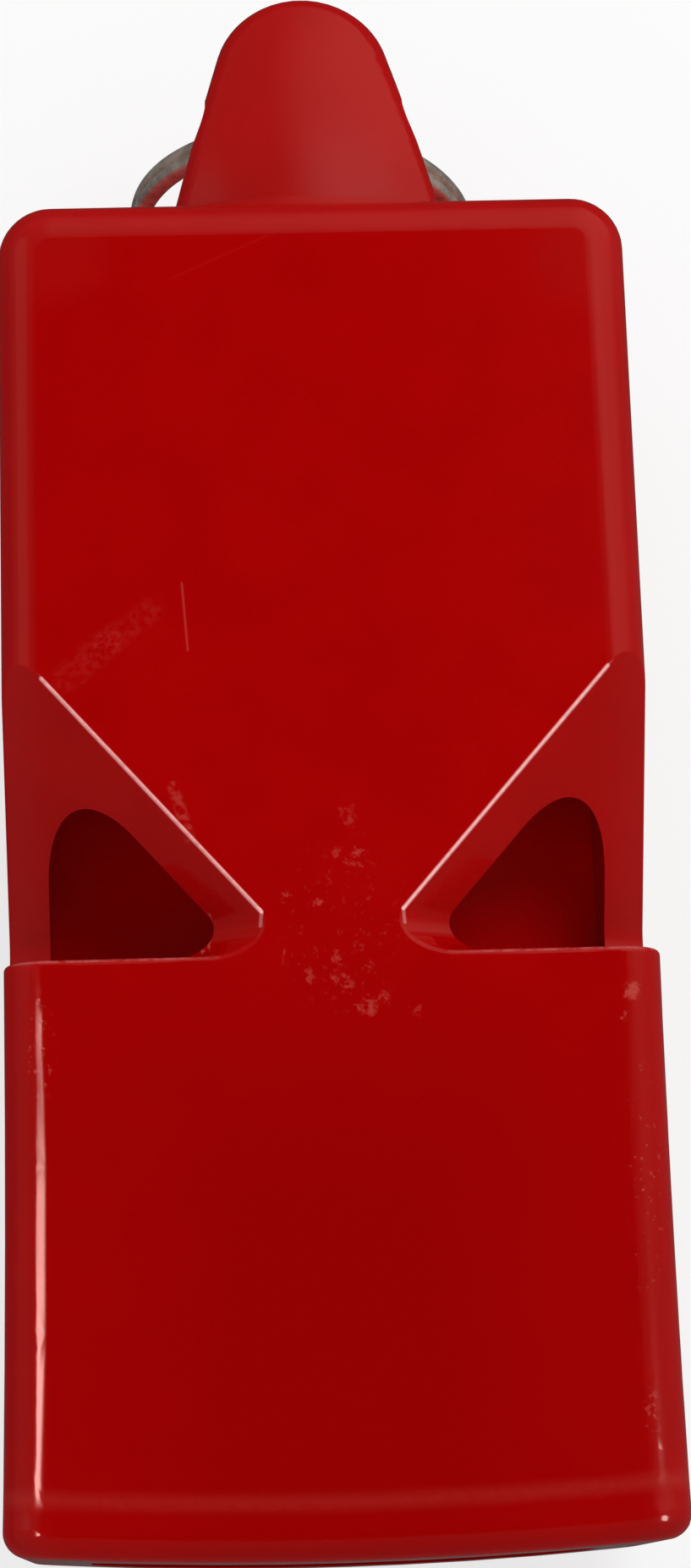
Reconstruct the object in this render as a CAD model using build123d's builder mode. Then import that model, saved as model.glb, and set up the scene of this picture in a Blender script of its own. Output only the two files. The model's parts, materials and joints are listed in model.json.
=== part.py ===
from build123d import *

import math
import os

# A pealess sports whistle: two welded shells, the chamber core that they trap, and a split ring in the lug.
# Millimetres. X runs across the whistle, +Y towards the lug, +Z up, and the origin lies under its middle.

# Body outline
mouthpiece_length = 20.7
chamber_length = 27.4
lug_reach = 9.5
rear_width = 22.4
step_width = 22.9
mouth_width = 23.8
body_height = 19.0
edge_round = 1.5
round_margin = 0.4

# Mouthpiece and lip
mouthpiece_taper = 5.0
taper_blend = 40.0
lip_bow = 0.5
lip_depth = 2.1
lip_flare = 5.7
lip_round = 0.9
mouth_slot_width = 18.0
mouth_slot_height = 8.0
mouth_slot_round = 2.0

# Shell walls and the groove that traps the core
wall = 1.5
ceiling = 1.3
cavity_round = 3.1
flange_reach = 0.7
fit = 0.05

# Upper notches: a ramp on each side that falls outwards and forwards to the step
notch_start = 1.15
notch_angle = 41.5
ramp_slope = 45.0
notch_round = 1.1
crest_round = 0.2

# Lower notch: a straight ramp in the middle of the underside
lower_notch_width = 9.6
lower_notch_length = 6.0
lower_ramp_slope = 40.0

# Chamber core
plate = 1.6
rib = 1.4
bridge_width = 4.4
windway_height = 1.1
windway_land = 9.0
nose_setback = 6.5
nose_thickness = 2.0
left_chamber = 23.0
right_chamber = 20.5
lower_chamber = 18.0

# Lug and its cross hole
lug_base_width = 11.0
lug_tip_round = 3.25
lug_height = 6.0
lug_fall = 3.1
lug_barrel = 9.0
lug_edge_round = 1.0
lug_root_round = 0.9
hole_setback = 4.1
hole_drop = 0.95
hole_radius = 1.2
hole_flare = 0.8

# Split ring
ring_diameter = 13.2
ring_wire = 0.7
ring_turn_gap = 0.42
ring_step_angle = 22.0
ring_end_gap = 6.0
ring_wall_gap = 0.1

# Places worked out from the sizes above
full_turn = math.degrees(math.tau)
quarter_turn = full_turn / 4
rear_corner_round = edge_round + round_margin
overall_length = mouthpiece_length + chamber_length + lug_reach
y_mouth = -overall_length / 2
y_step = y_mouth + mouthpiece_length
y_rear = y_step + chamber_length
y_tip = y_rear + lug_reach
y_nose = y_mouth + nose_setback
y_flange = y_nose + nose_thickness / 2
y_land = y_step - windway_land
seam_z = body_height / 2
taper = math.tan(math.radians(mouthpiece_taper))
bow_radius = ((mouth_width / 2) ** 2 + lip_bow**2) / (2 * lip_bow)
bow_axis = Axis((0, y_mouth + bow_radius, 0), (0, 0, 1))
seam_plane = Plane.XY.offset(seam_z)


def body_outline(inset):
    """Plan outline of the body, drawn in from its outer edge by inset."""
    with BuildSketch() as outline:
        with BuildLine():
            ThreePointArc(
                (-mouth_width / 2, y_mouth + lip_bow), (0, y_mouth), (mouth_width / 2, y_mouth + lip_bow)
            )
            Line((-rear_width / 2, y_rear), (rear_width / 2, y_rear))
            for side in (-1, 1):
                flank = Line((side * rear_width / 2, y_rear), (side * step_width / 2, y_step))
                TangentArc(flank @ 1, (side * mouth_width / 2, y_mouth + lip_bow), tangent=flank % 1)
        make_face()
        fillet(outline.vertices().group_by(Axis.Y)[-1], radius=rear_corner_round)
        if inset > 0:
            offset(amount=-inset, mode=Mode.REPLACE)
    return outline.sketch


def crown_z(y, cover):
    """Height of the tapered mouthpiece face at y, lowered by cover."""
    return body_height - cover - taper * (y_step - y)


def crown_profile(cover, lipped):
    """Side profile from the seam to the crown, lowered by cover, in distance from the bow axis and height.

    The flat top blends into the tapered mouthpiece, which flares up into a lip where it is lipped.
    """
    top = body_height - cover
    blend = taper_blend * math.tan(math.radians(mouthpiece_taper) / 2)
    blend_run = blend * math.cos(math.radians(mouthpiece_taper))
    radius_step = bow_radius - mouthpiece_length
    taper_end = (bow_radius - lip_depth, crown_z(y_mouth + lip_depth, cover))
    with BuildSketch() as profile:
        with BuildLine():
            flat = Line((radius_step - chamber_length - lug_reach, top), (radius_step - blend, top))
            bend = TangentArc(
                flat @ 1, (radius_step + blend_run, crown_z(y_step - blend_run, cover)), tangent=flat % 1
            )
            slant = Line(bend @ 1, taper_end)
            if lipped:
                crown = JernArc(slant @ 1, slant % 1, lip_flare, math.degrees(2 * lip_depth / lip_flare))
            else:
                crown = Line(slant @ 1, slant @ 1 + slant % 1 * 2 * lip_depth)
            Polyline(crown @ 1, ((crown @ 1).X, seam_z), ((flat @ 0).X, seam_z), flat @ 0)
        make_face()
    return profile.sketch


def half_envelope(inset, cover, rounding, lipped=False):
    """One half of the body above the seam, shrunk by inset at its walls and by cover at its crown."""
    with BuildPart() as half:
        with BuildSketch(seam_plane):
            add(body_outline(inset))
        extrude(amount=body_height)
        with BuildSketch(Plane(bow_axis.position, x_dir=(0, 1, 0), z_dir=(1, 0, 0))):
            add(crown_profile(cover, lipped))
        revolve(axis=bow_axis, mode=Mode.INTERSECT)
        front = half.faces().sort_by(Axis.Y)[0]
        walls = half.faces().filter_by(lambda face: abs(face.normal_at().Z) < 0.5)
        crowns = half.faces().filter_by(lambda face: face.normal_at().Z > 0.5)
        rim = [edge for edge in walls.edges() if edge in crowns.edges() and edge not in front.edges()]
        fillet(rim, radius=rounding)
        if lipped:
            front = half.faces().sort_by(Axis.Y)[0]
            lip_edges = [edge for edge in front.edges() if edge.center().Z > seam_z + lip_round / 2]
            fillet(lip_edges, radius=lip_round)
    return half.part


def flange_outline(inset, front):
    """Outline of the core's flange, or of the groove that holds it: the body outline behind a front line."""
    with BuildSketch() as outline:
        add(body_outline(inset))
        with Locations((0, front)):
            Rectangle(mouth_width, overall_length, align=(Align.CENTER, Align.MIN), mode=Mode.INTERSECT)
    return outline.sketch


outer_half = half_envelope(0, 0, edge_round, lipped=True)
cavity_half = half_envelope(wall, ceiling, cavity_round)
plug_half = half_envelope(wall + fit, ceiling + fit, cavity_round)

# The hollow of a half shell: its cavity, the half of the mouth slot and the half of the flange groove
with BuildPart() as hollow:
    add(cavity_half)
    with BuildSketch(Plane((0, y_mouth, seam_z), x_dir=(1, 0, 0), z_dir=(0, -1, 0))):
        RectangleRounded(mouth_slot_width, mouth_slot_height, mouth_slot_round)
    extrude(amount=nose_setback, both=True)
    with BuildSketch(seam_plane):
        add(flange_outline(wall - flange_reach, y_flange))
    extrude(amount=plate / 2 + fit)

# Cutters of the two upper notches. The ramp and the step meet in a rounded corner that runs down outwards.
angle = math.radians(notch_angle)
slope = math.radians(ramp_slope)
ramp_normal = Vector(math.sin(slope) * math.cos(angle), -math.sin(slope) * math.sin(angle), math.cos(slope))
corner_run = Vector(0, 1, 0).cross(ramp_normal).normalized()
corner_up = Vector(0, 1, 0).cross(corner_run) * -1
ramp_rise = corner_up.dot(ramp_normal)
with BuildPart() as notches:
    with BuildSketch(Plane((notch_start, y_step, body_height), x_dir=corner_up, z_dir=-corner_run)) as wedge:
        with BuildLine():
            Polyline(
                (0, 0),
                (chamber_length, 0),
                (chamber_length, chamber_length * ramp_rise),
                (-chamber_length * ramp_normal.Y, chamber_length * ramp_rise),
                close=True,
            )
        make_face()
        fillet(wedge.vertices().sort_by(Axis.X)[0], radius=notch_round)
    extrude(amount=step_width, both=True)
    mirror(about=Plane.YZ)

# Upper shell: the lug's tongue, crowned both ways, is rounded, then joined, hollowed and notched. The crests
# of the notches get a small round, which runs on along the step.
z_lug = seam_z + (seam_z - edge_round) / 2
y_lug_root = y_rear - lug_tip_round / 2
lug_crown = ((y_tip - y_lug_root) ** 2 + lug_fall**2) / (2 * lug_fall)
crown_back = math.degrees(math.asin(lug_tip_round / lug_crown))
crown_turn = crown_back + math.degrees(math.asin((y_tip + lug_tip_round - y_lug_root) / lug_crown))
y_hole = y_rear + hole_setback
z_hole = z_lug - hole_drop
bore_end = lug_tip_round - hole_flare / 2
with BuildPart() as tongue:
    with BuildSketch(Plane.XY.offset(z_lug - lug_height / 2)):
        with Locations((0, y_tip - lug_tip_round)):
            Circle(lug_tip_round)
        with Locations((0, y_lug_root)):
            SlotOverall(lug_base_width, lug_tip_round)
        make_hull()
    extrude(amount=lug_height)
    barrel_plane = Plane((0, y_lug_root, z_lug + lug_height / 2), x_dir=(0, 1, 0), z_dir=(1, 0, 0))
    with BuildSketch(barrel_plane):
        with BuildLine():
            crown = CenterArc((0, -lug_crown), lug_crown, quarter_turn + crown_back, -crown_turn)
            Polyline(crown @ 1, ((crown @ 1).X, -lug_barrel), ((crown @ 0).X, -lug_barrel), crown @ 0)
        make_face()
    revolve(axis=Axis((0, y_lug_root, z_lug + lug_height / 2 - lug_barrel), (0, 1, 0)), mode=Mode.INTERSECT)
    layers = tongue.faces().sort_by(Axis.Z)
    fillet(layers[0].edges() + layers[-1].edges(), radius=lug_edge_round)

with BuildPart() as upper_shell:
    add(outer_half)
    add(tongue.part)
    rear = upper_shell.faces().filter_by(Axis.Y).sort_by(Axis.Y)[-1]
    fillet(rear.inner_wires().edges(), radius=lug_root_round)
    add(hollow.part, mode=Mode.SUBTRACT)
    add(notches.part, mode=Mode.SUBTRACT)
    roof = upper_shell.faces().filter_by(Axis.Z).sort_by(Axis.Z)[-1]
    crests = roof.edges().filter_by(GeomType.LINE).sort_by(Axis.Y)[:2]
    fillet(crests, radius=crest_round)
    with BuildSketch(Plane((0, y_hole, z_hole), x_dir=(1, 0, 0), z_dir=(0, -1, 0))):
        with BuildLine():
            bore = Line((0, hole_radius), (bore_end, hole_radius))
            flare = RadiusArc(bore @ 1, (bore @ 1) + (hole_flare, hole_flare), -hole_flare)
            Polyline(flare @ 1, (lug_base_width, hole_radius + hole_flare), (lug_base_width, 0), (0, 0))
            mirror(about=Plane.YZ)
        make_face()
    revolve(axis=Axis((0, y_hole, z_hole), (1, 0, 0)), mode=Mode.SUBTRACT)
upper_shell.part.label = "upper_shell"

# Lower shell: cut as an upper half with one straight notch, then turned over about the seam
with BuildPart() as lower_shell:
    add(outer_half)
    add(hollow.part, mode=Mode.SUBTRACT)
    with BuildSketch(Plane.YZ) as ramp:
        with BuildLine():
            Polyline(
                (y_step, body_height - lower_notch_length * math.tan(math.radians(lower_ramp_slope))),
                (y_step + lower_notch_length, body_height),
                (y_step, body_height),
                close=True,
            )
        make_face()
        fillet(ramp.vertices().sort_by(Axis.Y)[0], radius=notch_round)
    extrude(amount=lower_notch_width / 2, both=True, mode=Mode.SUBTRACT)
    mirror(about=seam_plane, mode=Mode.REPLACE)
lower_shell.part.label = "lower_shell"

# Windway block: a round nose splits the breath, and a flat floor runs one windway height under the crown
with BuildPart() as block:
    with BuildSketch(Plane.YZ):
        floor = ceiling + windway_height
        with BuildLine():
            nose = RadiusArc((y_nose, seam_z), (y_flange, seam_z + nose_thickness / 2), nose_thickness / 2)
            Polyline(
                nose @ 1,
                (y_land, crown_z(y_land, floor)),
                (y_step, crown_z(y_step, floor)),
                (y_step, seam_z),
                nose @ 0,
            )
        make_face()
    extrude(amount=mouth_width, both=True)

# Upper face of the core: the bridge between the windways, the rib between the chambers and their end walls
with BuildPart() as core_top:
    add(block.part)
    with BuildSketch(seam_plane):
        with Locations((0, y_nose + bridge_width / 2)):
            Circle(bridge_width / 2)
            Rectangle(bridge_width, y_step - y_nose - bridge_width / 2, align=(Align.CENTER, Align.MIN))
        with Locations((0, y_step)):
            Rectangle(rib, chamber_length, align=(Align.CENTER, Align.MIN))
        with Locations((0, y_step + left_chamber)):
            Rectangle(mouth_width, rib, align=(Align.MAX, Align.MIN))
        with Locations((0, y_step + right_chamber)):
            Rectangle(mouth_width, rib, align=(Align.MIN, Align.MIN))
    extrude(amount=body_height)
    add(plug_half, mode=Mode.INTERSECT)

# Lower face of the core, cut upside down: pads beside the one windway, and the walls of the middle chamber
with BuildPart() as core_bottom:
    with BuildSketch(seam_plane):
        with Locations((0, y_step)):
            Rectangle(mouth_width, windway_land, align=(Align.CENTER, Align.MAX))
            Rectangle(lower_notch_width + 2 * rib, lower_chamber + rib, align=(Align.CENTER, Align.MIN))
        with Locations((0, y_land)):
            Rectangle(
                lower_notch_width + 2 * fit,
                windway_land + lower_chamber,
                align=(Align.CENTER, Align.MIN),
                mode=Mode.SUBTRACT,
            )
    extrude(amount=body_height)
    add(block.part)
    add(plug_half, mode=Mode.INTERSECT)
    mirror(about=seam_plane, mode=Mode.REPLACE)

with BuildPart() as chamber_core:
    add(core_top.part)
    add(core_bottom.part)
    with BuildSketch(seam_plane):
        add(flange_outline(wall - flange_reach + fit, y_flange + fit))
    extrude(amount=plate / 2, both=True)
chamber_core.part.label = "chamber_core"

# Split ring: two flat turns of round wire and one slanted step between them, on the side away from the lug.
# It hangs in the bell-mouthed hole as low as the flare lets it, and leans on the lower rear edge.
coil_radius = (ring_diameter - ring_wire) / 2
turn_pitch = ring_wire + ring_turn_gap


def hang_room(spread):
    """How far below the hole's axis the ring's top may lie, for its wire to clear the flare at spread."""
    wire_reach = hole_flare + ring_wire / 2 + fit
    room = hole_radius + hole_flare - math.sqrt(wire_reach**2 - spread**2)
    sag = coil_radius - math.sqrt(coil_radius**2 - (bore_end + spread) ** 2)
    return math.sqrt(room**2 - (turn_pitch / 2) ** 2) - sag


hang = min(hang_room(hole_flare * step / 10) for step in range(10))
half_stack = (turn_pitch + ring_wire) / 2
lean_reach = edge_round + half_stack + ring_wall_gap
lean = math.atan2(hole_setback + edge_round, z_hole - edge_round)
lean -= math.asin(lean_reach / math.hypot(hole_setback + edge_round, z_hole - edge_round))
hang_down = Vector(0, -math.sin(lean), -math.cos(lean))
ring_plane = Plane(
    Vector(0, y_hole, z_hole) + hang_down * (hang + coil_radius),
    x_dir=(1, 0, 0),
    z_dir=(0, math.cos(lean), -math.sin(lean)),
)


def on_ring(degrees, level):
    """Point of the wire's centre line at an angle round the ring and a level across its turns."""
    turned = math.radians(degrees)
    return ring_plane.from_local_coords(
        Vector(coil_radius * math.cos(turned), coil_radius * math.sin(turned), level)
    )


def ring_heading(degrees):
    """Direction in which the wire runs at an angle round the ring."""
    turned = math.radians(degrees)
    return ring_plane.x_dir * -math.sin(turned) + ring_plane.y_dir * math.cos(turned)


def flat_turn(start, end, level):
    """Nearly a full turn at one level, in arcs of at most a quarter turn."""
    arcs = math.ceil((end - start) / quarter_turn)
    step = (end - start) / arcs
    for index in range(arcs):
        begin = start + index * step
        ThreePointArc(
            on_ring(begin, level), on_ring(begin + step / 2, level), on_ring(begin + step, level)
        )


def biarc(start, start_heading, end, end_heading):
    """Two arcs that join two points and headings smoothly."""
    chord = end - start
    along = chord.dot(start_heading + end_heading)
    bend = 2 * (1 - start_heading.dot(end_heading))
    leg = (math.sqrt(along**2 + bend * chord.dot(chord)) - along) / bend
    corner_in = start + start_heading * leg
    corner_out = end - end_heading * leg
    joint = (corner_in + corner_out) / 2
    for tip, corner in ((start, corner_in), (end, corner_out)):
        weight = (joint - tip).length / (2 * leg)
        middle = (tip + joint + corner * 2 * weight) / (2 + 2 * weight)
        if corner is corner_in:
            ThreePointArc(tip, middle, joint)
        else:
            ThreePointArc(joint, middle, tip)


with BuildPart() as split_ring:
    with BuildLine() as wire_path:
        step_middle = full_turn + quarter_turn
        before = step_middle - ring_step_angle
        after = step_middle + ring_step_angle
        flat_turn(after - full_turn + ring_end_gap, before, -turn_pitch / 2)
        biarc(
            on_ring(before, -turn_pitch / 2),
            ring_heading(before),
            on_ring(after, turn_pitch / 2),
            ring_heading(after),
        )
        flat_turn(after, before + full_turn - ring_end_gap, turn_pitch / 2)
    wire = wire_path.wire()
    with BuildSketch(Plane(wire @ 0, z_dir=wire % 0)):
        Circle(ring_wire / 2)
    sweep(path=wire)
split_ring.part.label = "split_ring"

# Least gap of the wire to its next turn, measured on points of its centre line
point_count = 500
points = [wire @ (index / point_count) for index in range(point_count + 1)]
turn_points = math.floor(point_count / 4)
least = min(
    (points[index] - other).length
    for index in range(point_count + 1)
    for other in points[index + turn_points :]
)
print(f"ring: least gap to itself {least - ring_wire:.3f} mm, top of the ring {-hang:.3f} mm above the hinge")
print(f"ring: hinge at y {y_hole:.3f} mm, z {z_hole:.3f} mm, lean {math.degrees(lean):.2f} degrees")

os.makedirs("parts", exist_ok=True)
export_step(upper_shell.part, "parts/upper_shell.step")
export_step(lower_shell.part, "parts/lower_shell.step")
export_step(chamber_core.part, "parts/chamber_core.step")
export_step(split_ring.part, "parts/split_ring.step")
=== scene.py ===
# %% [markdown]
# A red pealess whistle
#
# The whistle comes packed from CAD as four solids: two welded shells, the core with the air slots, and a
# split ring. This lesson gives them what CAD can't: the gloss and the wear of a whistle that has been
# carried in a pocket, a ring wound as tightly as a real one, and light that shows both.
#
# Loading the frame comes first, because every later step hangs on its bodies.

# %% Load the packed whistle
import json
import math

import bmesh
import bpy
from mathutils import Matrix, Vector


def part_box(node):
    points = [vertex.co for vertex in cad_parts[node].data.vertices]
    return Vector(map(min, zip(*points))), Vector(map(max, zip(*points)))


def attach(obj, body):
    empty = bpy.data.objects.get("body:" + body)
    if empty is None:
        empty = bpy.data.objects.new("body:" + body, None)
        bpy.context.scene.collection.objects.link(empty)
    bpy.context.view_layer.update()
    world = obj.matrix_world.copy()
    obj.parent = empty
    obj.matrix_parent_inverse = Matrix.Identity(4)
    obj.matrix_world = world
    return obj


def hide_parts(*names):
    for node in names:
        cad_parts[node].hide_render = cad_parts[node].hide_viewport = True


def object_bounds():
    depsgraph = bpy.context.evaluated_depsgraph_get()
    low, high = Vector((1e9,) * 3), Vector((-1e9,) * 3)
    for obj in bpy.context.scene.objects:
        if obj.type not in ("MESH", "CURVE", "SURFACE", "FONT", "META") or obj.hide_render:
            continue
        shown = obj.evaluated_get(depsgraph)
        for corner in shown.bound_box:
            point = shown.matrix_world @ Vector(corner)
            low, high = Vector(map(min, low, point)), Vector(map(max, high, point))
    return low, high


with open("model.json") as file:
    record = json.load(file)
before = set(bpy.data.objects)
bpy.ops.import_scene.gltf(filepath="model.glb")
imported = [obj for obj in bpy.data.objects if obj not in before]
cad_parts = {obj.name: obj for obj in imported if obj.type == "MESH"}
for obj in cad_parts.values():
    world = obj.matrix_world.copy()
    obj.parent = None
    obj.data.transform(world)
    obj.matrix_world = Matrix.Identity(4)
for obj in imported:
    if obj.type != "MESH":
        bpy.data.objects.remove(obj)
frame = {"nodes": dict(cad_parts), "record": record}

cad_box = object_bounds()
print("nodes:", sorted(frame["nodes"]))
print("box in mm:", [[round(1000 * number, 2) for number in corner] for corner in cad_box])

# %% [markdown]
# The camera
#
# The picture looks almost straight down on the whistle, from a hand's length away and a little from the
# mouth end. A camera could be turned with Euler angles, but a roll on top of two tilts is hard to read that
# way. Here the direction back to the camera is written down first, then the two directions across the
# picture are worked out from it, and the three become the columns of the camera's matrix.
#
# Places along the whistle are counted from the step where the mouthpiece ends and the notches begin.

# %% Place the camera
mouthpiece_length = 20.7
step_y = 1000 * cad_box[0][1] + mouthpiece_length
aim = Vector((0.946, step_y + 7.7035, 9.5)) / 1000
distance = 0.16412
tilt = math.radians(10.7454)
yaw = math.radians(-2.1103)
roll = math.radians(-1.7947)
picture_height = 1853
focal_pixels = 5248

back = Vector((math.sin(yaw), -math.sin(tilt) * math.cos(yaw), math.cos(tilt) * math.cos(yaw)))
level_right = Vector((0, 1, 0)).cross(back).normalized()
level_up = back.cross(level_right)
right = math.cos(roll) * level_right + math.sin(roll) * level_up
up = math.cos(roll) * level_up - math.sin(roll) * level_right

lens = bpy.data.cameras.new("camera")
lens.sensor_width = 36
lens.lens = focal_pixels * lens.sensor_width / picture_height
lens.clip_start = 0.01
camera = bpy.data.objects.new("camera", lens)
turned = Matrix((right, up, back)).transposed().to_4x4()
camera.matrix_world = Matrix.Translation(aim + distance * back) @ turned
bpy.context.scene.collection.objects.link(camera)
bpy.context.scene.camera = camera
bpy.context.scene.view_settings.view_transform = "Standard"
print("camera at", [round(1000 * number, 1) for number in camera.location], "mm")
print("lens of", round(lens.lens, 1), "mm")

# %% [markdown]
# Shader maths in Python
#
# A finish is a drawing made of numbers: how far a point lies from a scratch, how strong the haze is there.
# Wired by hand, each plus and times is one more node to place. The small class below wraps one socket, so
# that plain Python such as 1 - mask adds the Math nodes itself. One method, node, makes every other kind of
# node.

# %% Wrap a socket
class Wire:
    """A socket of a node tree, which Python's operators calculate with."""

    def __init__(self, tree, socket=None):
        self.tree = tree
        self.socket = socket

    def node(self, kind, settings=None, sockets=None, output=0):
        """Add a node: its settings first, then the values or links of its sockets. Gives one output."""
        made = self.tree.nodes.new(kind)
        for name, value in (settings or {}).items():
            setattr(made, name, value)
        for name, value in (sockets or {}).items():
            if isinstance(value, Wire):
                self.tree.links.new(value.socket, made.inputs[name])
            else:
                made.inputs[name].default_value = value
        return None if output is None else Wire(self.tree, made.outputs[output])

    def math(self, operation, first, second=0.0):
        return self.node("ShaderNodeMath", {"operation": operation}, {0: first, 1: second})

    def __add__(self, other):
        return self.math("ADD", self, other)

    def __radd__(self, other):
        return self.math("ADD", other, self)

    def __sub__(self, other):
        return self.math("SUBTRACT", self, other)

    def __rsub__(self, other):
        return self.math("SUBTRACT", other, self)

    def __mul__(self, other):
        return self.math("MULTIPLY", self, other)

    def __rmul__(self, other):
        return self.math("MULTIPLY", other, self)

    def __truediv__(self, other):
        return self.math("DIVIDE", self, other)

    def __rtruediv__(self, other):
        return self.math("DIVIDE", other, self)

    def __abs__(self):
        return self.math("ABSOLUTE", self)

    def at_most(self, other):
        return self.math("MINIMUM", self, other)

    def at_least(self, other):
        return self.math("MAXIMUM", self, other)

    def step(self, low, high):
        """Rises smoothly from 0 at low to 1 at high, or falls where low is the larger."""
        return self.node(
            "ShaderNodeMapRange",
            {"interpolation_type": "SMOOTHSTEP"},
            {"Value": self, "From Min": low, "From Max": high},
        )


print("a wire knows", [name for name in vars(Wire) if not name.startswith("_")])

# %% [markdown]
# The room
#
# Gloss shows the room, so the room is part of the finish. The flat top has to stay deep red, and that means
# a dark ceiling. Two pale places stand half way up, a wide one behind on the right and a narrow one on the
# left, and they lighten only the rounded edges and the dome of the lug. A warm strip light hangs over the
# left edge of the mouthpiece and fades out towards the step. The camera itself sees plain white. Light Path
# tells these kinds of rays apart. The soft light that colours the plastic is a fourth case, and it comes
# more from the sides than from above.
#
# Four short functions come first, for what the node trees share: the kinds of rays, the parts of a vector,
# a mix of two colours, and the output.


# %% Rays, vectors and colours
def ray_kinds(wire):
    """Which kind of ray looks: the camera's own, one that went through glass, or a reflection."""
    path = wire.node("ShaderNodeLightPath").socket.node
    names = ("Is Camera Ray", "Is Transmission Ray", "Is Glossy Ray")
    return [Wire(wire.tree, path.outputs[name]) for name in names]


def split(vector):
    """The three numbers of a vector."""
    parts = vector.node("ShaderNodeSeparateXYZ", {}, {0: vector}).socket.node
    return [Wire(vector.tree, part) for part in parts.outputs]


def blend_colours(wire, share, first, second):
    """Two colours, or a wire and a colour, mixed by a share."""
    return wire.node("ShaderNodeMix", {"data_type": "RGBA"}, {0: share, 6: first, 7: second}, 2)


def put_out(wire, kind):
    """Wire a finished shader to the output of its tree."""
    wire.node(kind, {}, {"Surface": wire}, None)


print("helpers: ray_kinds, split, blend_colours, put_out")

# %% The room
room = bpy.data.worlds.new("room")
bpy.context.scene.world = room
room.use_nodes = True
room.node_tree.nodes.clear()
air = Wire(room.node_tree)
camera_ray, glass_ray, mirror_ray = ray_kinds(air)
to_right, to_rear, to_top = split(air.node("ShaderNodeTexCoord", output=0))


def facing(direction):
    """How squarely a ray looks in a direction: 1 where it looks straight there."""
    return to_right * direction[0] + to_rear * direction[1] + to_top * direction[2]


ceiling = (0, 0.07, 0.997)
rear_window = (0.55, 0.65, 0.52)
left_window = (-0.76, 0.35, 0.55)
strip_to_left = 0.42
wall_light = 0.11
rear_light = 0.42
left_light = 0.22
strip_light = 24
fill_from_above = 0.46
fill_from_sides = 0.60

below_ceiling = facing(ceiling).step(0.966, 0.88)
rear_glow = facing(rear_window).step(0.65, 0.97) * rear_light
left_glow = facing(left_window).step(0.93, 0.985) * left_light
rear_slope = to_rear / to_top
side_slope = to_right / to_top
strip = rear_slope.step(-0.03, -0.11) * rear_slope.step(-0.36, -0.22)
strip = strip * abs(side_slope + strip_to_left).step(0.14, 0.07) * mirror_ray
mirrored = below_ceiling * (wall_light + rear_glow + left_glow) + strip * strip_light
fill_light = fill_from_above + (1 - to_top) * fill_from_sides
level = (camera_ray + glass_ray).at_most(1)
level = level + mirror_ray * mirrored + (1 - level - mirror_ray).at_least(0) * fill_light
warm = blend_colours(air, mirror_ray, (1, 1, 1, 1), (1, 0.82, 0.72, 1))
tint = blend_colours(air, strip, warm, (1, 0.5, 0.45, 1))
shine = air.node("ShaderNodeBackground", {}, {"Color": tint, "Strength": level})
put_out(shine, "ShaderNodeOutputWorld")
print("room of", len(room.node_tree.nodes), "nodes")

# %% [markdown]
# The table and the lamps
#
# The table is white to the camera and keeps the whistle's shadow. In the gloss it looks grey, as a table
# does under a dark ceiling, and darker on the left, which the whistle keeps in the shade. One soft lamp
# from above models the red and is kept out of the reflections. The other lamp does the opposite: it only
# shows in the gloss, as the glints on the crest of the right notch and on the corner of the lip. The table
# lies a hair below the whistle, because two faces in one plane would flicker.
#
# Object coordinates stay with a part when it moves, so every material starts from them: millimetres across,
# millimetres behind the step, and millimetres above the table.


# %% The table
def start_finish(name):
    """A new material: the material, a wire into it, the place in millimetres, and its three numbers."""
    finish = bpy.data.materials.new(name)
    finish.use_nodes = True
    finish.node_tree.nodes.clear()
    wire = Wire(finish.node_tree)
    place = wire.node("ShaderNodeTexCoord", output=3)
    in_mm = wire.node("ShaderNodeVectorMath", {"operation": "SCALE"}, {0: place, "Scale": 1000.0})
    across, along, height = split(in_mm)
    return finish, wire, in_mm, across, along - step_y, height


table_size = 3
table_gap = 0.00005
table_whiteness = 0.7
bpy.ops.mesh.primitive_plane_add(size=table_size, location=(0, 0, -table_gap))
table = bpy.context.object
table.name = "table"
table_paint, paint, _, table_x, table_y, _ = start_finish("table_paint")
camera_ray, glass_ray, mirror_ray = ray_kinds(paint)
matt = paint.node("ShaderNodeBsdfDiffuse", {}, {"Color": (0.9, 0.9, 0.9, 1)})
white = paint.node("ShaderNodeEmission", {}, {"Color": (1, 1, 1, 1)})
lit_side = (table_x - table_y).step(-31, 31)
grey_tone = blend_colours(paint, lit_side, (0.03, 0.03, 0.03, 1), (0.09, 0.09, 0.09, 1))
grey = paint.node("ShaderNodeEmission", {}, {"Color": grey_tone})
straight = (camera_ray + glass_ray).at_most(1) * table_whiteness
seen = paint.node("ShaderNodeMixShader", {}, {0: straight, 1: matt, 2: white})
put_out(paint.node("ShaderNodeMixShader", {}, {0: mirror_ray, 1: seen, 2: grey}), "ShaderNodeOutputMaterial")
table.data.materials.append(table_paint)
print("table", round(1000 * table_gap, 2), "mm below the whistle")


# %% The lamps
def lamp(name, towards, reach, size, watts, colour, diffuse, glossy):
    """A flat lamp that shines on the whistle from a direction, at a reach in metres."""
    light = bpy.data.lights.new(name, "AREA")
    light.shape = "RECTANGLE"
    light.size, light.size_y = size
    light.energy = watts
    light.color = colour
    holder = bpy.data.objects.new(name, light)
    place = Vector(towards).normalized()
    side = Vector((0, 1, 0)).cross(place).normalized()
    turn = Matrix((side, place.cross(side), place)).transposed().to_4x4()
    holder.matrix_world = Matrix.Translation(place * reach) @ turn
    holder.visible_diffuse = diffuse
    holder.visible_glossy = glossy
    bpy.context.scene.collection.objects.link(holder)


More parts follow.
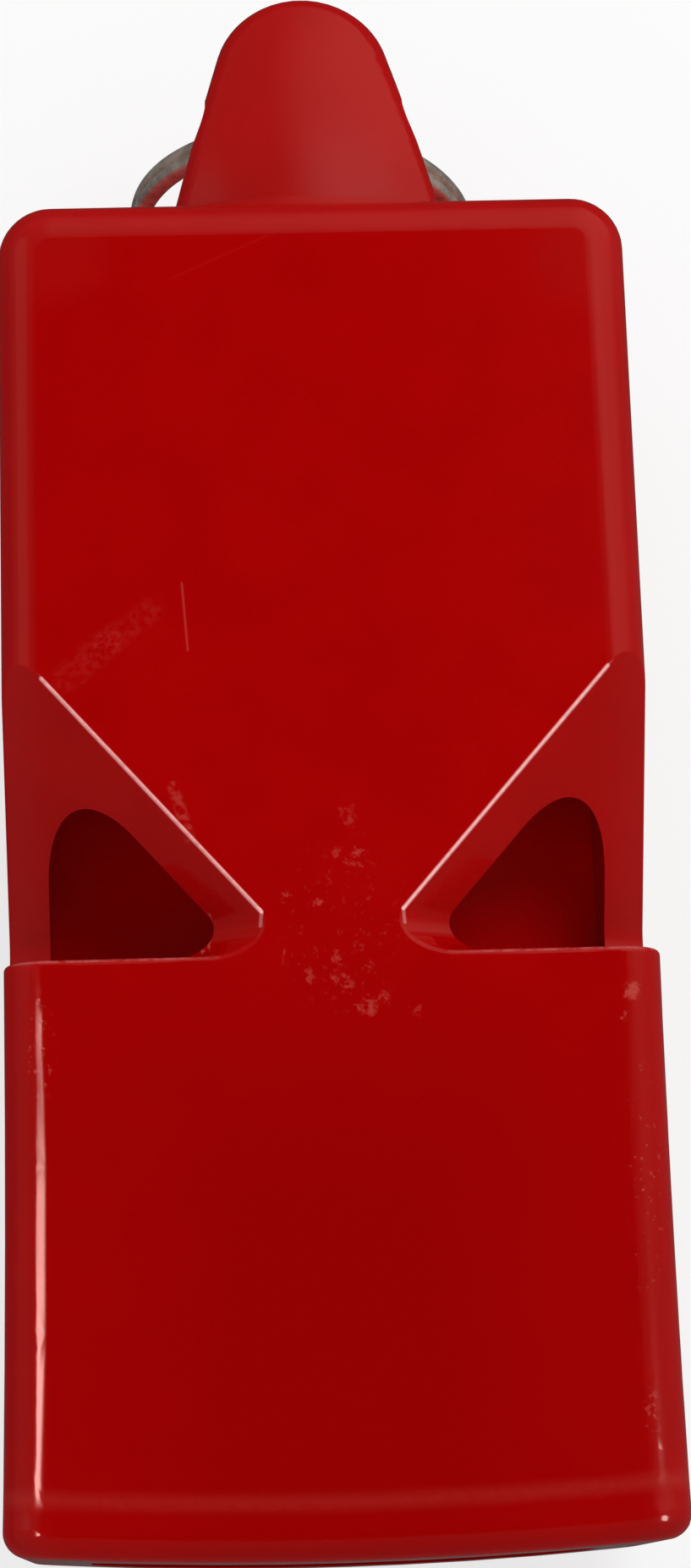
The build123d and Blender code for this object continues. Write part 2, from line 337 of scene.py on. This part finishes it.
lamp(
    "soft_light",
    towards=(0.35, 0.48, 0.80),
    reach=0.26,
    size=(0.16, 0.16),
    watts=0.32,
    colour=(1, 1, 1),
    diffuse=True,
    glossy=False,
)
lamp(
    "right_lamp",
    towards=(0.60, -0.36, 0.70),
    reach=0.5,
    size=(0.12, 0.16),
    watts=0.90,
    colour=(1, 0.7, 0.65),
    diffuse=False,
    glossy=True,
)

# %% [markdown]
# Marks on a surface
#
# Wear belongs to places: a scratch beside the middle, specks on the bridge, a chip at the step. It could be
# painted on an image, but an image has only so many pixels. Here each mark is worked out from the
# millimetres: a stroke knows how far a point lies from a line, a patch how far it lies from a middle, and
# noise breaks both up.


# %% Marks on a surface
def noise(place, scale, detail=2.0, roughness=0.5):
    """Cloudy noise over places in millimetres, with so many waves to a millimetre."""
    return place.node(
        "ShaderNodeTexNoise", {}, {"Vector": place, "Scale": scale, "Detail": detail, "Roughness": roughness}
    )


def stroke(x, y, start, end, width):
    """A soft line from start to end, width millimetres to each side."""
    run = (end[0] - start[0], end[1] - start[1])
    square = run[0] ** 2 + run[1] ** 2
    share = (x - start[0]) * (run[0] / square) + (y - start[1]) * (run[1] / square)
    share = share.at_least(0).at_most(1)
    off_x = x - start[0] - share * run[0]
    off_y = y - start[1] - share * run[1]
    return (off_x * off_x + off_y * off_y).step(width**2, 0)


def patch(x, y, middle, reach):
    """A soft oval round a middle, with its reach in x and y."""
    off_x = (x - middle[0]) / reach[0]
    off_y = (y - middle[1]) / reach[1]
    return (off_x * off_x + off_y * off_y).step(1, 0)


print("marks: stroke, patch, noise")

# %% [markdown]
# The red shells: rubbed edges and painted highlights
#
# The shells are moulded in gloss ABS, coloured right through, so wear doesn't bring out another colour: it
# scatters the light and looks paler and duller. Each kind of wear is one mask between 0 and 1. The sharp
# crests of the notches rub against everything, and their almost white lines are partly that wear and partly
# a painted highlight, where the rounded crests catch the light. Blender's Pointiness could find such edges,
# but it depends on how finely a mesh is cut, so a stroke is laid where a crest runs. Both sides wear alike,
# and abs(x) draws the two crests at once.

# %% Rubbed edges and painted highlights
red_shell, shell, mm, x, y, z = start_finish("worn_gloss_red_painted_light")
cloud = noise(mm, 0.35, 3.0)
grain = noise(mm, 3.0, 3.0, 0.6)
blotch = noise(mm, 4.5, 2.0, 0.6)
top_face = z.step(16.0, 16.6)
crown = z.step(18.6, 18.8)
crest_inner = (2.46, 1.48)
crest_outer = (9.92, 9.91)
crest_foot = (2.50, 1.0)

# Painted highlight: the pale line on each crest is partly wear and partly a highlight painted into the
# colour.
crest_wear_and_highlight = stroke(abs(x), y, crest_inner, crest_outer, 0.09) * (0.5 + grain * 0.7)
crest_wear_and_highlight = (crest_wear_and_highlight + stroke(abs(x), y, crest_inner, crest_foot, 0.08) * 0.3) * crown
step_line = stroke(abs(x), y, (4.0, -0.06), (11.1, -0.06), 0.08) * abs(x).step(3.0, 6.0)
step_line = step_line * grain.step(0.25, 0.6) * top_face
rubbed_and_crest_highlight = crest_wear_and_highlight * 0.9 + step_line * 0.14
print("rubbed edges of", len(shell.tree.nodes), "nodes")

# %% [markdown]
# The red shells: specks and scratches
#
# Specks lie where the thumb meets the bridge, chips where teeth met the sides of the mouthpiece, and a few
# scratches and smudges on the flat top. Noise alone would strew them over the whole whistle, so each mark
# has a place of its own, and noise only breaks it up.

# %% Specks and scratches
ragged_x = x + (blotch - 0.5) * 0.7
ragged_y = y + (noise(mm, 4.0, 2.0, 0.6) - 0.5) * 0.7
specks = patch(x, y, (0.4, 0.8), (2.8, 4.4)) * blotch.step(0.60, 0.74) * 0.25
for speck_middle, speck_reach, strength in (
    ((0.63, 4.75), (0.34, 0.50), 0.45),
    ((0.91, 3.31), (0.34, 0.36), 0.80),
    ((0.21, 3.48), (0.16, 0.24), 0.50),
    ((-1.68, 1.98), (0.22, 0.22), 0.90),
    ((-0.46, 1.80), (0.38, 0.18), 0.70),
    ((-1.74, -0.09), (0.14, 0.40), 0.40),
    ((-0.83, -0.76), (0.20, 0.28), 0.60),
    ((0.06, -0.28), (0.20, 0.40), 0.70),
    ((0.14, -0.87), (0.26, 0.34), 0.60),
    ((1.26, -0.55), (0.14, 0.34), 0.45),
    ((0.42, -1.11), (0.32, 0.18), 0.60),
    ((1.07, -1.85), (0.48, 0.40), 0.90),
    ((1.72, -1.55), (0.30, 0.24), 0.70),
    ((2.82, -2.04), (0.18, 0.22), 0.45),
    ((10.31, -1.60), (0.34, 0.42), 1.00),
    ((10.01, -2.44), (0.16, 0.16), 0.70),
):
    speck = patch(ragged_x, ragged_y, speck_middle, speck_reach) * grain.step(0.40, 0.58)
    specks = specks + speck * strength
chips = patch(x, y, (10.6, -8.0), (0.9, 5.5)) * blotch.step(0.62, 0.72)
chips = chips + patch(x, y, (10.5, -16.0), (0.4, 1.0)) * blotch.step(0.52, 0.64)
chips = chips + patch(x, y, (-10.2, -3.0), (0.7, 2.2)) * blotch.step(0.60, 0.70)
flecks = stroke(x, y, (-4.33, 1.54), (-4.42, 0.33), 0.20) * grain.step(0.42, 0.56) * z.step(9, 11)
scuff = stroke(x, y, (-5.4, 5.95), (-4.9, 4.2), 0.26) * grain.step(0.4, 0.62)
scratch = stroke(x, y, (-4.93, 13.2), (-4.78, 10.8), 0.06)
scratch = scratch + stroke(x, y, (-5.1, 24.3), (-1.2, 26.0), 0.05) * 0.1
smudge = stroke(x, y, (-9.0, 9.9), (-7.6, 11.1), 0.7) + stroke(x, y, (-7.6, 11.1), (-6.0, 12.3), 0.6)
smudge = smudge * blotch.step(0.35, 0.70)
haze = patch(x, y, (-9.3, 25.2), (2.6, 2.2)) + patch(x, y, (9.6, 24.8), (2.4, 2.4))
lip_y = -18.7
lip_bow = 0.0035
# A pale band along the crease where the lip flares: partly rubbed wear, partly a painted highlight on that
# crease.
lip_rub_and_highlight = abs(y - lip_y - x * x * lip_bow).step(0.5, 0) * (0.4 + grain * 0.6)
wear_and_lip_highlight = specks * 0.32 + chips * 0.20 + scuff * 0.20 + scratch * 0.16
wear_and_lip_highlight = wear_and_lip_highlight + smudge * 0.05 + haze * 0.015 + lip_rub_and_highlight * 0.09
wear_and_lip_highlight = (wear_and_lip_highlight * top_face + flecks * 0.5).at_most(1)
dull_edge = y.step(25.4, 27.2).at_least(abs(x).step(9.4, 11.2))
print("wear of", len(shell.tree.nodes), "nodes")

# %% [markdown]
# The red shells: gloss
#
# One gloss shader takes all the masks. They lighten the red, roughen it, and sink in with a bump. The red
# itself drifts a little from place to place, as pigment does in a moulding. Towards the mouth end and down
# the middle of the mouthpiece it is painted deeper, a painted shade. The edges have lost some of their
# polish.

# %% Finish of the shells
deep_red = (0.350, 0.0004, 0.0005, 1)
bright_red = (0.372, 0.0006, 0.0007, 1)
mouthpiece_shade_red = (0.318, 0.0004, 0.0006, 1)
# Pale red of the wear, and of the painted highlight along the lip.
scuffed_and_highlight_red = (0.72, 0.13, 0.10, 1)
# Pale pink of the rubbed step line, and of the painted highlight on the crests.
rubbed_and_highlight_red = (0.95, 0.42, 0.40, 1)
shell_polish = 0.045

pigment = cloud.step(0.3, 0.7)
fresh_red = blend_colours(shell, pigment, deep_red, bright_red)
# Painted shade: the mouthpiece's red darkens towards the mouth end and down the middle.
mouthpiece_shade = y.step(1.5, -9.0) * (1 - abs(x).step(2.5, 9.5) * 0.7)
shaded_mouthpiece_red = blend_colours(shell, mouthpiece_shade, fresh_red, mouthpiece_shade_red)
pale_red = blend_colours(shell, wear_and_lip_highlight, shaded_mouthpiece_red, scuffed_and_highlight_red)
shell_red = blend_colours(shell, rubbed_and_crest_highlight.at_most(1), pale_red, rubbed_and_highlight_red)
relief = cloud * 0.5 + grain * 0.03 - wear_and_lip_highlight
dent = shell.node("ShaderNodeBump", {}, {"Strength": 0.12, "Distance": 0.00005, "Height": relief})
shell_dullness = shell_polish + (wear_and_lip_highlight + rubbed_and_crest_highlight) * 0.25 + grain * 0.02 + dull_edge * 0.10
red_gloss = shell.node(
    "ShaderNodeBsdfPrincipled", {}, {"Base Color": shell_red, "Roughness": shell_dullness, "Normal": dent}
)
put_out(red_gloss, "ShaderNodeOutputMaterial")
print("shell finish of", len(shell.tree.nodes), "nodes")

# %% [markdown]
# The core
#
# The core is the same plastic, deep inside the windows, where it hardly sees the light, so its red is
# painted far paler than the shells', a painted light. Nothing has polished it, so it keeps the fine texture
# of the mould and looks matt beside the shells. Near the slots at the step the plate is painted darker, a
# painted shade, which fades deeper in.

# %% Finish of the core
red_core, core, core_mm, _, core_y, _ = start_finish("inner_red")
core_cloud = noise(core_mm, 0.5, 3.0)
mould_grain = noise(core_mm, 6.0, 2.0, 0.6)
beyond_core_shade = core_y.step(1.0, 6.5) * 0.85 + core_cloud * 0.15
# Painted shade: a darker red on the plate near the step.
core_shade_red = (0.60, 0.0006, 0.0008, 1)
# Painted light: far paler than the shells' red, so that the deep inside looks lit.
core_lightened_red = (0.95, 0.0012, 0.0014, 1)
core_red = blend_colours(core, beyond_core_shade, core_shade_red, core_lightened_red)
core_dent = core.node("ShaderNodeBump", {}, {"Strength": 0.2, "Distance": 0.00002, "Height": mould_grain})
core_gloss = core.node(
    "ShaderNodeBsdfPrincipled",
    {},
    {
        "Base Color": core_red,
        "Roughness": 0.75 + core_cloud * 0.15,
        "Specular IOR Level": 0.1,
        "Normal": core_dent,
    },
)
put_out(core_gloss, "ShaderNodeOutputMaterial")
print("core finish of", len(core.tree.nodes), "nodes")

# %% [markdown]
# The split ring: where it hangs
#
# The packed record says where the middle and the axis of the packed ring lie, and which hinge it swings on.
# This ring could be put exactly there. But its turns lie closer together, so it settles one degree nearer
# to the rear wall, and nothing holds it square, so it hangs with a slight turn, as it does in the picture.

# %% Hang the ring
ring_mount = next(mount for mount in frame["record"]["mounts"] if mount["name"] == "lanyard_ring")
hinge = Vector(frame["record"]["behaviour"]["joints"][0]["pos_m"])
settle = math.radians(-1.0)
turn_aside = math.radians(4.5)

settled = Matrix.Rotation(settle, 3, "X")
middle = hinge + settled @ (Vector(ring_mount["pos_m"]) - hinge)
axis = settled @ Vector(ring_mount["axis"])
hang = axis.cross(Vector((1, 0, 0)))
aside = Matrix.Rotation(turn_aside, 3, hang)
axis = aside @ axis
across = aside @ Vector((1, 0, 0))
print("middle of the ring at", [round(1000 * number, 2) for number in middle], "mm")

# %% [markdown]
# The split ring: winding the wire
#
# A split ring is one length of flattened spring wire wound almost twice round. Its turns press on each
# other all the way, except where the wire steps over from one to the other. A curve with a round bevel
# could follow that line, but this wire is flattened, so it is wound as a mesh: at every angle one small
# loop of points, a rectangle with rounded corners, and faces between one loop and the next.

# %% Wind the ring
ring_low, ring_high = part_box("split_ring")
wire_across = 0.00070
wire_thick = 0.00052
turn_pitch = 0.00055
step_half = math.radians(22)
end_gap = math.radians(6)
wire_loops = 220
wire_points = 14
squareness = 0.65
coil_radius = (ring_high.x - ring_low.x - wire_across) / 2


def rounded(value):
    """A cosine or sine drawn towards its ends, which rounds an oval out towards a rectangle."""
    return math.copysign(abs(value) ** squareness, value)


def wire_level(angle):
    """How far along the ring's axis the wire lies: on the first turn, the step, or the second turn."""
    share = (angle - 2.5 * math.pi + step_half) / (2 * step_half)
    share = min(max(share, 0), 1)
    return turn_pitch * (share * share * (3 - 2 * share) - 0.5)


ring_mesh = bpy.data.meshes.new("wound_ring")
wound = bmesh.new()
loops = []
first_angle = 0.5 * math.pi + step_half + end_gap
last_angle = 4.5 * math.pi - step_half - end_gap
for index in range(wire_loops + 1):
    angle = first_angle + (last_angle - first_angle) * index / wire_loops
    outwards = math.cos(angle) * across + math.sin(angle) * hang
    loop = []
    for corner in range(wire_points):
        turn = 2 * math.pi * corner / wire_points
        radius = coil_radius + wire_across / 2 * rounded(math.cos(turn))
        lift = wire_level(angle) + wire_thick / 2 * rounded(math.sin(turn))
        loop.append(wound.verts.new(middle + radius * outwards + lift * axis))
    loops.append(loop)
for near, far in zip(loops, loops[1:]):
    for corner in range(wire_points):
        after = (corner + 1) % wire_points
        wound.faces.new((near[corner], near[after], far[after], far[corner])).smooth = True
wound.faces.new(loops[0])
wound.faces.new(loops[-1])
bmesh.ops.recalc_face_normals(wound, faces=wound.faces)
wound.to_mesh(ring_mesh)
wound.free()
wound_ring = bpy.data.objects.new("wound_ring", ring_mesh)
bpy.context.scene.collection.objects.link(wound_ring)
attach(wound_ring, "ring")
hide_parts("split_ring")
print("ring of", len(ring_mesh.polygons), "faces, coil radius", round(1000 * coil_radius, 2), "mm")

# %% [markdown]
# The ring's steel
#
# Spring wire is drawn through a die and then plated. The plating has dulled to a warm grey with darker
# spots. Bare metal has no colour but its reflections, but a dulled skin scatters some light as well, so the
# shader is not quite all metal.

# %% Finish of the ring
ring_steel, ring, ring_mm, _, _, _ = start_finish("drawn_steel")
tarnish = noise(ring_mm, 1.6, 3.0, 0.6)
drawn = noise(ring_mm, 6.0, 2.0, 0.6)
spot_grey = (0.62, 0.55, 0.46, 1)
plate_grey = (0.95, 0.90, 0.80, 1)
steel = blend_colours(ring, tarnish.step(0.35, 0.65), spot_grey, plate_grey)
steel_dent = ring.node("ShaderNodeBump", {}, {"Strength": 0.1, "Distance": 0.00003, "Height": drawn})
steel_gloss = ring.node(
    "ShaderNodeBsdfPrincipled",
    {},
    {"Base Color": steel, "Metallic": 0.8, "Roughness": 0.24 + drawn * 0.16, "Normal": steel_dent},
)
put_out(steel_gloss, "ShaderNodeOutputMaterial")
print("ring finish of", len(ring.tree.nodes), "nodes")

# %% [markdown]
# Putting the finishes on
#
# Three of the packed solids have the right shape already. They keep it and only change their material.
# Beside each piece stands the name of the slot in the packed record that its finish belongs to, but the
# loop doesn't use it.

# %% Put the finishes on
for piece, finish, slot in (
    (frame["nodes"]["upper_shell"], red_shell, "red_shell"),
    (frame["nodes"]["lower_shell"], red_shell, "red_shell"),
    (frame["nodes"]["chamber_core"], red_core, "red_core"),
    (wound_ring, ring_steel, "ring_steel"),
):
    piece.data.materials.clear()
    piece.data.materials.append(finish)
    print(piece.name, len(piece.data.polygons), "faces,", finish.name)
